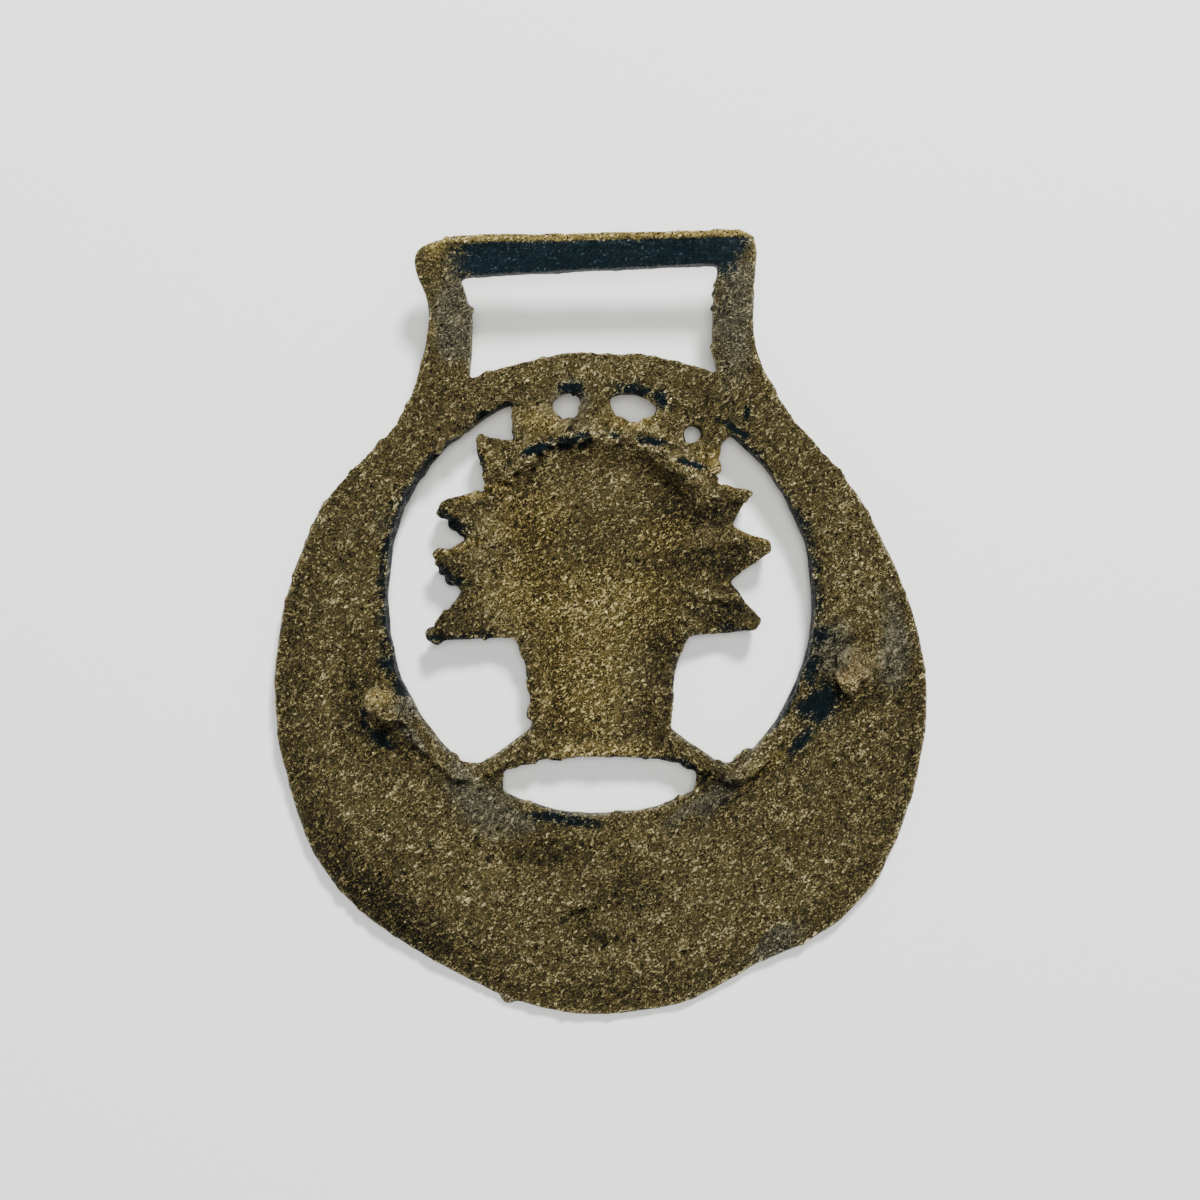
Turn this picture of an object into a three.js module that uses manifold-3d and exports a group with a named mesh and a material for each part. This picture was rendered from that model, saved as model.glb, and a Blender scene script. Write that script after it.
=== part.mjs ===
// Horse brass: one sand-cast piece, lying face down with its back up.
// A crescent-shaped plate has a round opening with a rayed, hollow-backed ornament in it, and a strap
// loop at its top, which bends backwards. Millimetres, X to the right, Y towards the strap loop, Z up.
// It is drawn about the centre of the plate's outer edge, and moved at the end so that the origin is
// on the ground below the middle of the whole piece.
import * as THREE from "three";
import { mergeVertices } from "three/addons/utils/BufferGeometryUtils.js";
import Module from "manifold-3d";

const wasm = await Module();
wasm.setup();

// Plate and its round opening
const plateRadius = 34.6; // outer edge of the crescent
const plateThickness = 2.2;
const crescentDepth = 21.2; // from the lowest edge up to the opening
const openingShift = -0.2; // the opening was cast a little to the left
const topBand = 3.7; // metal between the opening and the strap slot
const rimFallWidth = 6; // the back falls away towards the outer edge over this width
const rimFall = 0.9;
const rimFallFade = 26; // that fall ends this far above the plate's centre

// Strap loop
const slotWidth = 26.2; // takes a 25 mm strap
const slotHeight = 8.35;
const slotFloorRise = 1.0; // the slot's curved floor stands this far outside the plate's radius
const slotOffset = -1.0; // the loop was cast a little to the left
const slotSkew = 2.4; // degrees that the bar's inner edge slopes up to the right
const barSkew = 1.1; // degrees for its outer edge
const barDepth = 3.2;
const slotPinch = 0.5; // its sides bulge in this far at half height
const slotNotch = 0.8; // its upper left corner is cut out this far
const slotLeftEase = 1.0; // the bar's inner edge is eased off over this width at the slot's left end
const slotRightEase = 0.4;
const slotEaseDrop = 0.15; // and drops this much there
const rightShoulder = 50; // degrees about the plate's centre where a post leaves the plate's edge
const leftShoulder = 132;
const shoulderFlow = 3.7; // the plate's edge runs on this far as it turns up into a post
const postFlow = 4.95; // and the post runs down this far before it turns
const leftPost = 4.1;
const rightPost = 3.7;
const leftEar = 1.3; // the bar's left end stands out past the post
const rightEar = 0.2;
const loopCorner = 2.2;
const loopRise = 3.8; // how far the bar bends back out of the plate

// Ornament in the opening
const motifRise = 4.2; // its centre, above the opening's centre
const rayClearance = 4.75; // a usual ray's reach is this much less than the opening's radius
const domeHeight = 2.3; // the front stands out this far from the plate
const shell = 1.6; // metal left between the front's dome and the hollow back
const hollowWall = 1.4; // metal between the hollow and the notches between the rays
const hollowWallSlope = 1.9; // the hollow's upper wall slopes in over this width
const hollowSideSlope = 7; // and its sides over this width
const rayRidge = 0.8;
const channelShare = 0.7; // a ray's channel, as a share of the hollow's depth beside it
const channelLean = 3; // degrees that a channel lies below its ray's middle
const stemShare = 0.42; // the hollow's depth at the stem's foot, as a share of its full depth
const hollowLip = 0.35; // raised edge over the hollow's upper wall
const hollowLipWidth = 0.9;
const ovalDepth = 6.25; // gap from the opening's lowest point up to the stem
const ovalEndDrop = 1.5; // the stem's lower edge dips this far at its ends
const stemWidth = 14.9;
const stemFlare = 2.4; // each side widens this much up to the neck
const stemNeck = 6.8; // the neck lies this far below the ornament's centre
const stemStraight = 6.2; // height of the stem's foot before it flares
const stemRim = 1.9; // raised edge beside the stem's hollow
const stemRise = 1.0; // the front's rounded stem stands out this far
const stemFlutes = 4;
const stemFluteDepth = 0.3;
const strutBead = 0.95; // radius of the rounded ridge along a strut
const strutWidth = 3.05; // where a strut leaves the stem

// Casting lugs on the back
const lugFoot = 3.4; // radius where a lug springs from the back
const lugHeight = 1.9;
const lugs = [{ at: 183.8, inset: 11.7 }, { at: 5.2, inset: 8 }]; // inset from the plate's edge

// Worn flats that it lies on
const rimFlat = 3;
const domeFlat = 0.15;

// The outer edge is a circle with shallow swells and hollows, each at an angle in degrees
const swells = [
  { at: 25, spread: 20, out: -1.1 },
  { at: 142, spread: 15, out: 0.6 },
  { at: 213, spread: 14, out: 0.6 },
  { at: 240, spread: 14, out: -0.7 },
  { at: 299, spread: 10, out: -1.2 },
  { at: 322, spread: 15, out: 0.8 },
];

// Rays counter-clockwise from the lower right, in degrees and as shares of the usual reach.
// A channelled ray is hollow behind, and the ones between the two windows run into the plate.
// Where a notch beside a ray is cut deeper or shallower than the others, the ray holds its share.
const rays = [
  { at: -22, reach: 0.99, channel: true },
  { at: 6, reach: 0.995, notch: 0.77, channel: true },
  { at: 26, reach: 0.965, channel: true },
  { at: 45, reach: 1.01, joined: true },
  { at: 67, reach: 1.05, joined: true },
  { at: 91, reach: 1.05, joined: true },
  { at: 112, reach: 1.05, joined: true },
  { at: 135, reach: 1.03 },
  { at: 160.5, reach: 1.02 },
  { at: 179, reach: 0.98 },
  { at: 203.5, reach: 1.105, notch: 0.85 },
];
const notchShare = 0.81; // how far out the notches between the rays start
const rayTipWidth = 0.9;
const topNotch = { share: 0.885, turn: 2 }; // the one above the left window is wide and shallow

// Small gaps left between the joined rays, each set in from the opening's edge
const gaps = [
  { at: 102.7, inset: 1.8, width: 2.8, height: 3.0 },
  { at: 79, inset: 2.0, width: 4.8, height: 3.3 },
  { at: 55.2, inset: 2.6, width: 1.8, height: 2.4 },
];
const gapTaper = 0.5; // a gap narrows by this share towards the ornament's centre

// Free form of the ornament, as shares of the hollow's radius, a ray's reach or half a ray's spacing
const form = {
  wallTop: 40, // degrees from the top over which the hollow's wall turns from steep to gentle
  wallSide: 85,
  deepest: 0.2, // the hollow is deepest this far above its centre
  topShallower: 0.85,
  sideShallower: 0.25,
  channelFlat: 0.2, // across a channel, from its flat bottom to its side
  channelSide: 0.8,
  channelFade: 0.84, // along a channel, from where it fades to its end
  channelEnd: 0.96,
  leafStart: 0.25, // along the ridge on a ray's front
  leafFull: 0.5,
  leafFade: 0.96,
  leafEnd: 1.08,
  sideFade: 1.03, // along the slopes of a ray's back
  sideEnd: 1.12,
  domeSpread: 1.05,
};

// Places that follow from the sizes above
const slotFloor = plateRadius + slotFloorRise;
const slotTop = slotFloor + slotHeight;
const barTop = slotTop + barDepth;
const openingTop = slotFloor - topBand;
const openingBottom = crescentDepth - plateRadius;
const openingRadius = (openingTop - openingBottom) / 2;
const openingCentre = new THREE.Vector2(openingShift, (openingTop + openingBottom) / 2);
const motifCentre = new THREE.Vector2(0, openingCentre.y + motifRise);
const rayReach = openingRadius - rayClearance;
const hollowRadius = notchShare * rayReach - hollowWall;
const stemBottom = openingBottom + ovalDepth;
const stemLength = motifCentre.y - stemBottom;
const restLine = rimFlat - plateRadius;
const lieSlope = (domeHeight - domeFlat) / (motifCentre.y - restLine);
const hollowDepth = plateThickness + domeHeight - shell;

// Where the struts meet the opening's edge, in degrees about its centre
const windowFoot = 52.2;
const ovalEnd = 63;
const leftWindowTop = 113.8;
const rightWindowTop = 51.9;
const windowCorner = 3.5; // and the lower corner is cut across over this much

const radians = THREE.MathUtils.degToRad;
const ease = (from, to, value) => THREE.MathUtils.smoothstep(value, from, to);

function polar(centre, radius, degrees) {
  const angle = radians(degrees);
  return new THREE.Vector2(centre.x + radius * Math.cos(angle), centre.y + radius * Math.sin(angle));
}

// Smallest turn from one angle to another, between -180 and 180 degrees
function turn(degrees, from) {
  return THREE.MathUtils.euclideanModulo(degrees - from + 180, 360) - 180;
}

const plateCentre = new THREE.Vector2(0, 0);

function plateEdge(degrees) {
  let radius = plateRadius;
  for (const { at, spread, out } of swells) radius += out * Math.exp(-((turn(degrees, at) / spread) ** 2));
  return radius;
}

function arcPoints(centre, radius, from, to, step = 4) {
  const count = Math.max(2, Math.round(Math.abs(to - from) / step));
  return Array.from({ length: count + 1 }, (_, i) => polar(centre, radius, from + ((to - from) * i) / count));
}

// Outline of the whole piece: the crescent's edge, then up and over the strap loop

function outerOutline() {
  const outline = new THREE.Shape();
  const crescent = [];
  const steps = 120;
  for (let i = 0; i <= steps; i++) {
    const degrees = leftShoulder + ((360 + rightShoulder - leftShoulder) * i) / steps;
    crescent.push(polar(plateCentre, plateEdge(degrees), degrees));
  }
  const slotLeft = slotOffset - slotWidth / 2;
  const slotRight = slotOffset + slotWidth / 2;
  const right = { waist: slotRight + rightPost, end: slotRight + rightPost + rightEar };
  const left = { waist: slotLeft - leftPost, end: slotLeft - leftPost - leftEar };
  const waistY = slotFloor + slotHeight / 2;
  const tilt = Math.tan(radians(barSkew));
  const topAt = (x) => barTop + tilt * (x - slotOffset);
  const [start, finish] = [crescent[0], crescent[steps]];
  const runOn = (point, degrees, distance) => {
    const tangent = new THREE.Vector2(-Math.sin(radians(degrees)), Math.cos(radians(degrees)));
    return tangent.multiplyScalar(distance).add(point);
  };
  const earY = waistY + slotHeight / 4;
  const headY = slotTop - loopCorner / 2;

  outline.setFromPoints(crescent);
  const leave = runOn(finish, rightShoulder, shoulderFlow);
  outline.bezierCurveTo(leave.x, leave.y, right.waist, waistY - postFlow, right.waist, waistY);
  outline.bezierCurveTo(right.waist, earY, right.end, headY, right.end, topAt(right.end) - loopCorner);
  const rightRound = right.end - loopCorner;
  outline.quadraticCurveTo(right.end, topAt(right.end), rightRound, topAt(rightRound));
  const leftRound = left.end + 2 * loopCorner;
  outline.lineTo(leftRound, topAt(leftRound));
  outline.quadraticCurveTo(left.end, topAt(left.end), left.end, topAt(left.end) - loopCorner);
  outline.bezierCurveTo(left.end, headY, left.waist, earY, left.waist, waistY);
  const arrive = runOn(start, leftShoulder, -shoulderFlow);
  outline.bezierCurveTo(left.waist, waistY - postFlow, arrive.x, arrive.y, start.x, start.y);
  return outline;
}

function slotHole() {
  const left = slotOffset - slotWidth / 2;
  const right = slotOffset + slotWidth / 2;
  const tilt = Math.tan(radians(slotSkew));
  const floorAngle = (x) => THREE.MathUtils.radToDeg(Math.acos(x / slotFloor));
  const floor = arcPoints(plateCentre, slotFloor, floorAngle(left), floorAngle(right));
  const topLeft = left - slotNotch;
  const topPoint = (x, drop) => new THREE.Vector2(x, slotTop + tilt * (x - slotOffset) - drop);
  const middle = slotFloor + slotHeight / 2;
  return [
    ...floor,
    new THREE.Vector2(right - slotPinch, slotFloor),
    new THREE.Vector2(right - slotPinch, middle),
    topPoint(right, slotEaseDrop),
    topPoint(right - slotRightEase, 0),
    topPoint(topLeft + slotLeftEase, 0),
    topPoint(topLeft, slotEaseDrop),
    new THREE.Vector2(left + slotPinch, middle),
    new THREE.Vector2(left + slotPinch, slotFloor),
  ];
}

// Half the stem's width at a height: straight below, flaring up into the ornament's head
function stemHalfWidth(y) {
  const neck = motifCentre.y - stemNeck;
  const flareStart = stemBottom + stemStraight;
  const climb = THREE.MathUtils.clamp((y - flareStart) / (neck - flareStart), 0, 1);
  return stemWidth / 2 + stemFlare * climb ** 2;
}

// A window's inner side follows the notched rays down, the stem, and the strut out to the plate
function windowHole(side, topAngle) {
  const onRight = side > 0;
  const own = rays.filter((ray) => !ray.joined && (Math.cos(radians(ray.at)) > 0) === onRight);
  own.sort((a, b) => side * (b.at - a.at));
  const joined = rays.filter((ray) => ray.joined);
  const neighbour = onRight ? joined[0] : joined.at(-1);
  const inner = [];
  const addRay = (ray) => {
    const reach = rayReach * ray.reach;
    const blunt = THREE.MathUtils.radToDeg(rayTipWidth / 2 / reach);
    inner.push(polar(motifCentre, reach, ray.at + side * blunt));
    inner.push(polar(motifCentre, reach, ray.at - side * blunt));
  };
  const addNotch = (one, other) => {
    const later = one.at > other.at ? one : other;
    inner.push(polar(motifCentre, rayReach * (later.notch ?? notchShare), (one.at + other.at) / 2));
  };

  if (onRight) {
    inner.push(polar(motifCentre, rayReach * neighbour.reach, neighbour.at));
    addNotch(neighbour, own[0]);
  } else {
    const between = (neighbour.at + own[0].at) / 2;
    inner.push(polar(motifCentre, topNotch.share * rayReach, between + topNotch.turn));
  }
  own.forEach((ray, i) => {
    addRay(ray);
    if (i + 1 < own.length) addNotch(ray, own[i + 1]);
  });
  const neck = motifCentre.y - stemNeck - strutBead;
  const stemSteps = 4;
  for (let i = 0; i <= stemSteps; i++) {
    const y = THREE.MathUtils.lerp(neck, stemBottom + strutWidth, i / stemSteps);
    inner.push(new THREE.Vector2(side * stemHalfWidth(y), y));
  }
  const foot = 270 + side * (90 - windowFoot);
  const corner = polar(openingCentre, openingRadius, foot);
  const cornerShare = 0.8;
  inner.push(inner.at(-1).clone().lerp(corner, cornerShare));
  const top = onRight ? topAngle + 360 : topAngle;
  return [...inner, ...arcPoints(openingCentre, openingRadius, foot + side * windowCorner, top)];
}

// The gap below the stem: the opening's own edge below, the stem's gently arched edge above
function ovalHole() {
  const below = arcPoints(openingCentre, openingRadius, 270 - (90 - ovalEnd), 270 + (90 - ovalEnd));
  const half = below.at(-1).x - openingCentre.x;
  const above = [];
  const steps = 10;
  for (let i = 0; i <= steps; i++) {
    const share = 1 - (2 * i) / steps;
    above.push(new THREE.Vector2(openingCentre.x + half * share, stemBottom - ovalEndDrop * share ** 4));
  }
  return [...below, ...above];
}

// From the ornament's centre to the opening's edge
function edgeDistance(degrees) {
  const offset = motifCentre.clone().sub(openingCentre);
  const along = polar(plateCentre, 1, degrees).dot(offset);
  return Math.sqrt(along ** 2 - offset.lengthSq() + openingRadius ** 2) - along;
}

// A rounded triangle that points to the ornament's centre
function gapHole({ at, inset, width, height }) {
  const centre = polar(motifCentre, edgeDistance(at) - inset, at);
  const points = [];
  const sides = 12;
  for (let i = 0; i < sides; i++) {
    const angle = (Math.PI * 2 * i) / sides;
    const across = (width / 2) * Math.cos(angle) * (1 + gapTaper * Math.sin(angle));
    const along = (height / 2) * Math.sin(angle);
    points.push(new THREE.Vector2(across, along).rotateAround(plateCentre, radians(at - 90)).add(centre));
  }
  return points;
}

// Heights of the back and the front over a point of the plan

function lie(y) {
  return lieSlope * Math.max(0, y - restLine);
}

const bendStart = openingTop + topBand / 3;

function loopBend(y) {
  const power = 4;
  const run = barTop - bendStart;
  const share = Math.max(0, (y - bendStart) / run);
  return { rise: loopRise * share ** power, slope: (power * loopRise * share ** (power - 1)) / run };
}

function nearestRay(degrees) {
  const away = (ray) => Math.abs(turn(degrees, ray.at));
  return rays.reduce((best, ray) => (away(ray) < away(best) ? ray : best));
}

const raySpacing = (rays.at(-1).at - rays[0].at) / (rays.length - 1);

// One along a ray's middle and nought in the notches beside it
function rayCrest(degrees) {
  return Math.max(0, 1 - (2 * Math.abs(turn(degrees, nearestRay(degrees).at))) / raySpacing);
}

// The groove behind a channelled ray
function channelAt(radius, degrees) {
  const ray = nearestRay(degrees);
  if (!ray.channel) return 0;
  const offCrest = (2 * Math.abs(turn(degrees, ray.at - channelLean))) / raySpacing;
  const along = radius / (rayReach * ray.reach);
  const across = 1 - ease(form.channelFlat, form.channelSide, offCrest);
  return channelShare * across * (1 - ease(form.channelFade, form.channelEnd, along));
}

// The stem's hollow, between its raised side edges, which spread into the head's gentle sides
function stemHollowAt(x, y) {
  if (y > motifCentre.y || y < stemBottom) return 0;
  const inside = stemHalfWidth(y) - Math.abs(x);
  const foot = ease(stemBottom + stemRim / 2, stemBottom + (5 * stemRim) / 4, y);
  const climb = ease(stemBottom + stemStraight, motifCentre.y, y);
  const wall = THREE.MathUtils.lerp(stemRim, hollowSideSlope, climb);
  const edge = 0.4 * stemRim;
  return ease(edge, edge + wall, inside) * foot;
}

// How far the back sinks into the ornament: a bowl with a steep upper wall, deepest near its middle,
// that runs out into the channelled rays and shallower down the stem
function hollowAt(x, y, radius, degrees) {
  const fromTop = Math.abs(turn(degrees, 90));
  const aroundSide = ease(form.wallTop, form.wallSide, fromTop);
  const slope = THREE.MathUtils.lerp(hollowWallSlope, hollowSideSlope, aroundSide);
  const head = 1 - ease(hollowRadius - slope, hollowRadius, radius);
  const deepest = motifCentre.y + form.deepest * hollowRadius;
  const down = THREE.MathUtils.clamp((deepest - y) / (deepest - stemBottom - stemRim), 0, 1);
  const up = Math.max(0, (y - deepest) / hollowRadius);
  const aside = Math.min(1, Math.abs(x) / hollowRadius);
  const bowl = (1 - (1 - stemShare) * down)
    * (1 - form.topShallower * up ** 2) * (1 - form.sideShallower * aside ** 2);
  return hollowDepth * Math.max(head, stemHollowAt(x, y), channelAt(radius, degrees)) * bowl;
}

// The raised lip over the hollow's upper wall, in an arc that fades out at both ends
function lipAt(radius, degrees) {
  const halfArc = 78;
  const fade = 40;
  const offLip = (radius - hollowRadius) / hollowLipWidth - 0.4;
  return hollowLip * Math.exp(-(offLip ** 2)) * ease(0, fade, halfArc - Math.abs(turn(degrees, 90)));
}

function backHeight(x, y) {
  const radius = Math.hypot(x, y - motifCentre.y);
  const degrees = THREE.MathUtils.radToDeg(Math.atan2(y - motifCentre.y, x));
  const edge = plateEdge(THREE.MathUtils.radToDeg(Math.atan2(y, x))) - Math.hypot(x, y);
  const fall = rimFall * (1 - ease(0, rimFallFade, y)) * (1 - ease(0, rimFallWidth, edge));
  const along = radius / rayReach;
  const free = !nearestRay(degrees).joined && Math.abs(x) > stemWidth / 2;
  const onRay = free ? 1 - ease(form.sideFade, form.sideEnd, along) : 0;
  const outside = ease(hollowRadius - hollowWall, hollowRadius, radius);
  const raySide = rayRidge * (rayCrest(degrees) - 1) * onRay * outside;
  const level = lie(y) + plateThickness - fall;
  return level - hollowAt(x, y, radius, degrees) + raySide + lipAt(radius, degrees);
}

function frontHeight(x, y) {
  const radius = Math.hypot(x, y - motifCentre.y);
  const degrees = THREE.MathUtils.radToDeg(Math.atan2(y - motifCentre.y, x));
  const dome = domeHeight * Math.max(0, 1 - (radius / (form.domeSpread * hollowRadius)) ** 2);
  const share = radius / rayReach;
  const along = ease(form.leafStart, form.leafFull, share) * (1 - ease(form.leafFade, form.leafEnd, share));
  const leaf = rayRidge * rayCrest(degrees) * along;
  const inStem = y < motifCentre.y && y > stemBottom - stemRim / 2 && Math.abs(x) < stemHalfWidth(y);
  const round = Math.sqrt(Math.max(0, 1 - (x / stemHalfWidth(y)) ** 2));
  const flute = stemFluteDepth * Math.cos((2 * Math.PI * stemFlutes * x) / stemWidth);
  const stem = inStem ? (stemRise + flute) * round : 0;
  return Math.max(0, lie(y) - Math.max(dome, stem) - leaf);
}

// Solids

function solidOf(geometry) {
  const bare = geometry.clone();
  bare.deleteAttribute("normal");
  bare.deleteAttribute("uv");
  const weld = 1e-5;
  const merged = mergeVertices(bare, weld);
  return new wasm.Manifold(new wasm.Mesh({
    numProp: 3,
    vertProperties: new Float32Array(merged.attributes.position.array),
    triVerts: new Uint32Array(merged.index.array),
  }));
}

function geometryOf(solid) {
  const mesh = solid.getMesh();
  const geometry = new THREE.BufferGeometry();
  geometry.setAttribute("position", new THREE.BufferAttribute(mesh.vertProperties, 3));
  geometry.setIndex(new THREE.BufferAttribute(mesh.triVerts, 1));
  geometry.computeVertexNormals();
  return geometry;
}

// Angles of the relief's spokes: a few to each step between rays, and even ones below
function spokeAngles() {
  const angles = [];
  const perStep = 4;
  const below = 46;
  const spread = (from, to, count) => {
    for (let i = 0; i < count; i++) angles.push(THREE.MathUtils.lerp(from, to, i / count));
  };
  for (let i = 0; i + 1 < rays.length; i++) spread(rays[i].at, rays[i + 1].at, perStep);
  const round = rays[0].at + 360;
  spread(rays.at(-1).at, round, below);
  return [...angles, round];
}

// The spokes below the head are gathered so that half of them run down inside the stem
function gathered(degrees, radius) {
  const from = rays.at(-1).at;
  const to = rays[0].at + 360;
  if (degrees <= from || degrees >= to) return degrees;
  const down = 270;
  const sector = degrees < down ? down - from : to - down;
  const share = Math.abs(degrees - down) / sector;
  const beside = stemHalfWidth(motifCentre.y - radius) / Math.max(radius, 1);
  const widest = 0.85;
  const edge = THREE.MathUtils.radToDeg(Math.asin(Math.min(widest, beside)));
  const released = ease(stemLength, stemLength + rayReach / 2, radius);
  const pull = ease(hollowRadius / 2, hollowRadius, radius) - released;
  const half = THREE.MathUtils.lerp(sector / 2, edge, pull);
  const away = share < 0.5 ? 2 * share * half : half + (2 * share - 1) * (sector - half);
  return down + Math.sign(degrees - down) * away;
}

// Radii of the relief's rings, close together on the ornament and wider apart outside it
function ringRadii(inner, outer) {
  const far = motifCentre.y + plateRadius + plateThickness;
  const radii = [0];
  while (radii.at(-1) < far) radii.push(radii.at(-1) + (radii.at(-1) < stemLength ? inner : outer));
  return radii;
}

// The relief is a globe of spokes and rings pressed flat: its upper half is the back's surface,
// its lower half is the front's, which has fewer rings
function reliefBlank() {
  const spokes = spokeAngles();
  const backRings = ringRadii(hollowRadius / 12, plateRadius / 15);
  const frontRings = ringRadii(hollowRadius / 6, plateRadius / 8);
  const rim = Math.max(backRings.at(-1), frontRings.at(-1)) + plateThickness;
  const rows = [...backRings, rim, ...frontRings.reverse()];
  const rimRow = backRings.length;
  const globe = new THREE.SphereGeometry(1, spokes.length - 1, rows.length - 1);
  const position = globe.attributes.position;
  rows.forEach((radius, row) => {
    spokes.forEach((degrees, column) => {
      const around = column === spokes.length - 1 ? spokes[0] : degrees;
      const { x, y } = polar(motifCentre, radius, gathered(around, radius));
      let height = row < rimRow ? backHeight(x, y) : frontHeight(x, y);
      if (row === rimRow) height = lie(y) + plateThickness / 2;
      position.setXYZ(row * spokes.length + column, x, y, height);
    });
  });
  return solidOf(globe);
}

// The strap loop's metal before it is pierced: a sheet that bends back towards the bar
function loopSheet() {
  const [nearEnd, farEnd] = [openingTop, barTop + barDepth];
  const steps = 12;
  const crowding = 0.75;
  const back = [];
  const front = [];
  for (let i = 0; i <= steps; i++) {
    const share = (i / steps) ** crowding;
    const y = i === 0 ? nearEnd : THREE.MathUtils.lerp(bendStart, farEnd, share);
    const { rise, slope } = loopBend(y);
    const top = lie(y) + plateThickness + rise;
    back.push(new THREE.Vector2(y, top));
    front.push(new THREE.Vector2(y, top - plateThickness * Math.hypot(1, slope)));
  }
  const profile = new THREE.Shape([...front, ...back.reverse()]);
  const width = 3 * plateRadius;
  const geometry = new THREE.ExtrudeGeometry(profile, { depth: width, bevelEnabled: false });
  geometry.translate(0, 0, -width / 2);
  geometry.rotateX(Math.PI / 2).rotateZ(Math.PI / 2);
  return solidOf(geometry);
}

// A block that takes away everything above the line where the strap loop's sheet begins
function aboveLoopLine() {
  const size = 4 * plateRadius;
  const geometry = new THREE.BoxGeometry(size, size, size);
  geometry.translate(0, openingTop + size / 2, 0);
  return solidOf(geometry);
}

function piercedPrism() {
  const outline = outerOutline();
  const windows = [windowHole(-1, leftWindowTop), windowHole(1, rightWindowTop)];
  const holes = [slotHole(), ...windows, ovalHole(), ...gaps.map(gapHole)];
  outline.holes = holes.map((points) => new THREE.Path(points));
  const depth = 4 * (plateThickness + loopRise + domeHeight);
  const geometry = new THREE.ExtrudeGeometry(outline, { depth, bevelEnabled: false, curveSegments: 8 });
  geometry.translate(0, 0, -depth / 3);
  return solidOf(geometry);
}

// A lug is a mound with a rounded top and a hollow foot
function lugSolid({ at, inset }) {
  const place = polar(plateCentre, plateRadius - inset, at);
  const sunk = plateThickness / 2;
  const profile = [new THREE.Vector2(0, -sunk), new THREE.Vector2(lugFoot, -sunk)];
  const steps = 7;
  for (let i = 0; i <= steps; i++) {
    const share = i / steps;
    profile.push(new THREE.Vector2(lugFoot * (1 - share), lugHeight * ease(0, 1, share)));
  }
  const sides = 16;
  const geometry = new THREE.LatheGeometry(profile, sides);
  geometry.rotateX(Math.PI / 2);
  geometry.translate(place.x, place.y, backHeight(place.x, place.y));
  return solidOf(geometry);
}

// A rounded ridge runs from the stem along its strut, then along the opening's edge until it sinks
function strutRidge(side) {
  const inset = 0.9 * strutBead;
  const start = new THREE.Vector2(side * (stemWidth - stemRim) / 2, stemBottom + (3 * strutWidth) / 4);
  const along = [start];
  const footAngle = 270 + side * (90 - windowFoot + 1);
  const run = 32.5;
  const runSteps = 5;
  for (let i = 0; i <= runSteps; i++) {
    along.push(polar(openingCentre, openingRadius + inset, footAngle + (side * run * i) / runSteps));
  }
  const path = along.map((point, i) => {
    const sunk = (strutBead + plateThickness / 15) * ease(runSteps / 2, runSteps + 1, i);
    return new THREE.Vector3(point.x, point.y, backHeight(point.x, point.y) - sunk);
  });
  path[0].z = lie(path[0].y) + plateThickness - strutBead / 2;
  const section = new THREE.Shape();
  section.absarc(0, 0, strutBead, 0, Math.PI * 2);
  const extrudePath = new THREE.CatmullRomCurve3(path);
  const options = { steps: 15, curveSegments: 4, bevelEnabled: false, extrudePath };
  return solidOf(new THREE.ExtrudeGeometry(section, options));
}

function castPiece() {
  let solid = reliefBlank().subtract(aboveLoopLine()).add(loopSheet());
  for (const lug of lugs) solid = solid.add(lugSolid(lug));
  for (const side of [-1, 1]) solid = solid.add(strutRidge(side));
  const geometry = geometryOf(solid.intersect(piercedPrism()));
  geometry.computeBoundingBox();
  const { min, max } = geometry.boundingBox;
  geometry.translate(-(min.x + max.x) / 2, -(min.y + max.y) / 2, -min.z);
  return geometry;
}

const brass = new THREE.MeshStandardMaterial({ color: 0x5f5138, roughness: 0.55, metalness: 0.9 });
const piece = new THREE.Mesh(castPiece(), brass);
piece.name = "horse_brass";

const part = new THREE.Group();
part.add(piece);

export default part;
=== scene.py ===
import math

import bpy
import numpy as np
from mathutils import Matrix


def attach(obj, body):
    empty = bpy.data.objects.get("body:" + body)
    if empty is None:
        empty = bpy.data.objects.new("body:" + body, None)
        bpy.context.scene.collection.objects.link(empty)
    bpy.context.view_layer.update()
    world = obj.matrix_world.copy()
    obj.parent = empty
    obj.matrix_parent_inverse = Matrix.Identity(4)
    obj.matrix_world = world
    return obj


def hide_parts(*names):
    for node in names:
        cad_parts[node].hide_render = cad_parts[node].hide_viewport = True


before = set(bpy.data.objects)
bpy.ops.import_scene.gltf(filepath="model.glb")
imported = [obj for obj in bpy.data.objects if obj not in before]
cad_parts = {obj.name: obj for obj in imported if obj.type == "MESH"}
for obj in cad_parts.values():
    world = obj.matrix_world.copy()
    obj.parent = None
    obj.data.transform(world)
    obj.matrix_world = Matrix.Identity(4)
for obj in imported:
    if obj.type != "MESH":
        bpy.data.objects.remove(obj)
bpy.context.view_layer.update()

# A sand-cast horse brass lies face down on a pale floor. Its rough back is up, dull and dark with
# patina, with worn golden high spots. Lengths in this script are millimetres in the part's frame,
# and become metres where a Blender object is made.

import openvdb
from mathutils import Vector

MM = 0.001
SEED = 20

# Places and sizes that the solid has, in millimetres
OPENING_CENTRE = (-0.1, 2.84)
OPENING_RADIUS = 22.65
PLATE_CENTRE = (0.1, -6.41)
PLATE_RADIUS = 34.6
PLATE_THICKNESS = 2.2
REST_LINE = -38.0
LIE_SLOPE = 0.0477
MOTIF_CENTRE = (0.1, 7.04)
HOLLOW_RADIUS = 13.1
BAR_FOOT = 36.8
BAR_EDGE = 40.68
BAR_SLOPE = 0.0192
BAR_TIP = 0.35

# How far the moulded walls slope, and how far the opening's upper left is eaten away, in millimetres
OPENING_DRAFT = 0.25
RIM_DRAFT = 0.3
EATEN_FRONT = 0.45
EATEN_BACK = 0.9

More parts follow.
